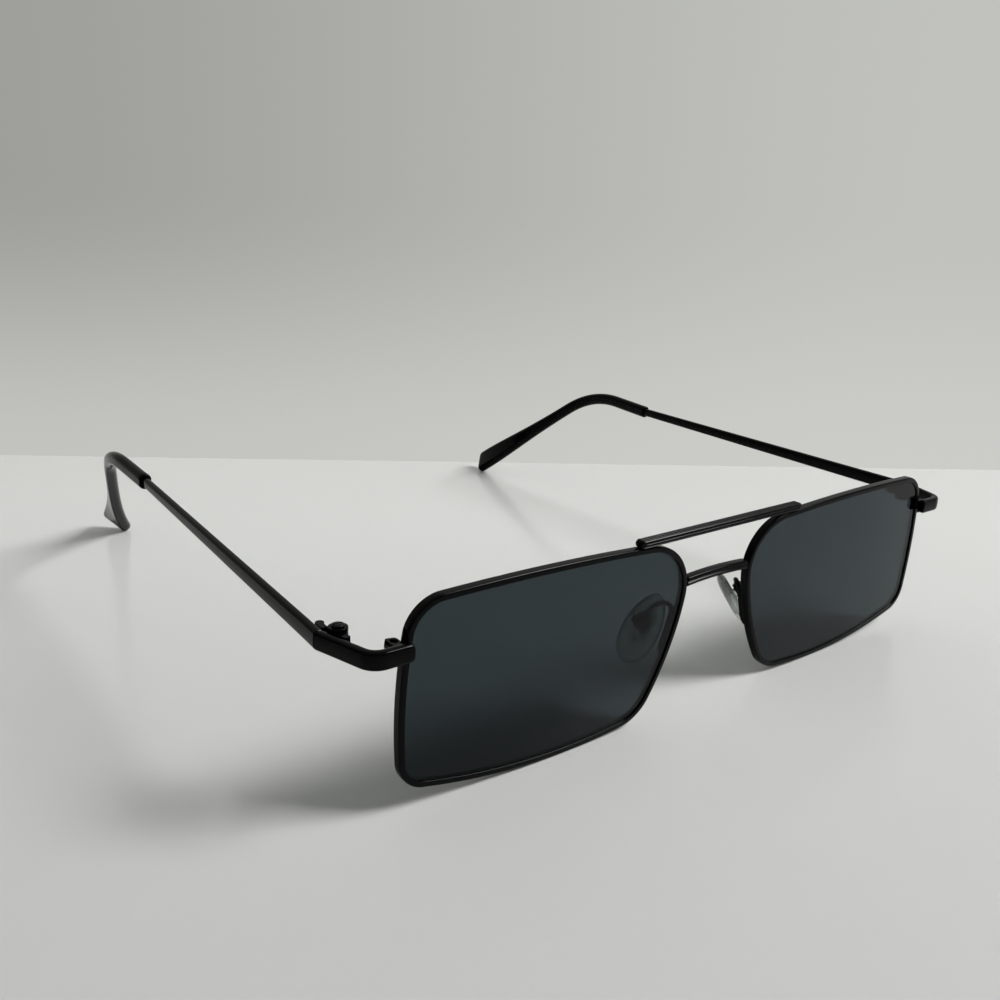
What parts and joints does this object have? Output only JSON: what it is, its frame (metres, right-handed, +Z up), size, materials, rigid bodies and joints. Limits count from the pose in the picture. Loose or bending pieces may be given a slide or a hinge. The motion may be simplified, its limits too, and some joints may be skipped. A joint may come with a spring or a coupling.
{
  "type": "sunglasses",
  "caption": "Slim square sunglasses with split metal rims, smoke lenses, a bridge and a brow bar, rocking nose pads and temples that fold on barrel hinges.",
  "frame": {"origin": "on the table below the middle of the whole object, temples open", "axes": "+X towards the wearer's left, +Y from the lenses back along the temples, +Z up from the table"},
  "size_m": [0.142, 0.148, 0.0333],
  "materials": {
    "black_metal": "gloss black plating",
    "smoke_lens": "polished, dark smoke tint",
    "dark_steel": "dark polished screw",
    "black_tip": "polished acetate",
    "pad_core": "clear moulded insert",
    "clear_pad": "clear soft silicone"
  },
  "bodies": {
    "front": {"rim_right": "black_metal", "rim_left": "black_metal", "lens_right": "smoke_lens", "lens_left": "smoke_lens", "lock_upper_right": "black_metal", "lock_upper_left": "black_metal", "lock_lower_right": "black_metal", "lock_lower_left": "black_metal", "lock_screw_right": "dark_steel", "lock_screw_left": "dark_steel", "brow_bar": "black_metal", "bridge": "black_metal", "end_piece_right": "black_metal", "end_piece_left": "black_metal", "hinge_front_right": "black_metal", "hinge_front_left": "black_metal", "hinge_screw_right": "dark_steel", "hinge_screw_left": "dark_steel", "pad_arm_right": "black_metal", "pad_arm_left": "black_metal", "pad_box_right": "black_metal", "pad_box_left": "black_metal", "pad_screw_right": "dark_steel", "pad_screw_left": "dark_steel"},
    "temple_arm_right": {"hinge_rear_right": "black_metal", "temple_right": "black_metal", "temple_tip_right": "black_tip"},
    "pad_right": {"pad_core_right": "pad_core", "nose_pad_right": "clear_pad"},
    "temple_arm_left": {"hinge_rear_left": "black_metal", "temple_left": "black_metal", "temple_tip_left": "black_tip"},
    "pad_left": {"pad_core_left": "pad_core", "nose_pad_left": "clear_pad"}
  },
  "joints": [
    {"name": "fold_right", "type": "hinge", "parent": "front", "child": "temple_arm_right", "pos_m": [-0.0677, -0.0647, 0.02591], "axis": [0, 0, 1], "range_deg": [-87, 0]},
    {"name": "fold_left", "type": "hinge", "parent": "front", "child": "temple_arm_left", "pos_m": [0.0677, -0.0647, 0.02591], "axis": [0, 0, 1], "range_deg": [0, 79]},
    {"name": "pad_rock_right", "type": "hinge", "parent": "front", "child": "pad_right", "pos_m": [-0.0127, -0.06783, 0.0161], "axis": [0.4271, -0.8566, -0.2894], "range_deg": [-8, 8]},
    {"name": "pad_rock_left", "type": "hinge", "parent": "front", "child": "pad_left", "pos_m": [0.0127, -0.06783, 0.0161], "axis": [-0.4271, -0.8566, -0.2894], "range_deg": [-8, 8]}
  ]
}
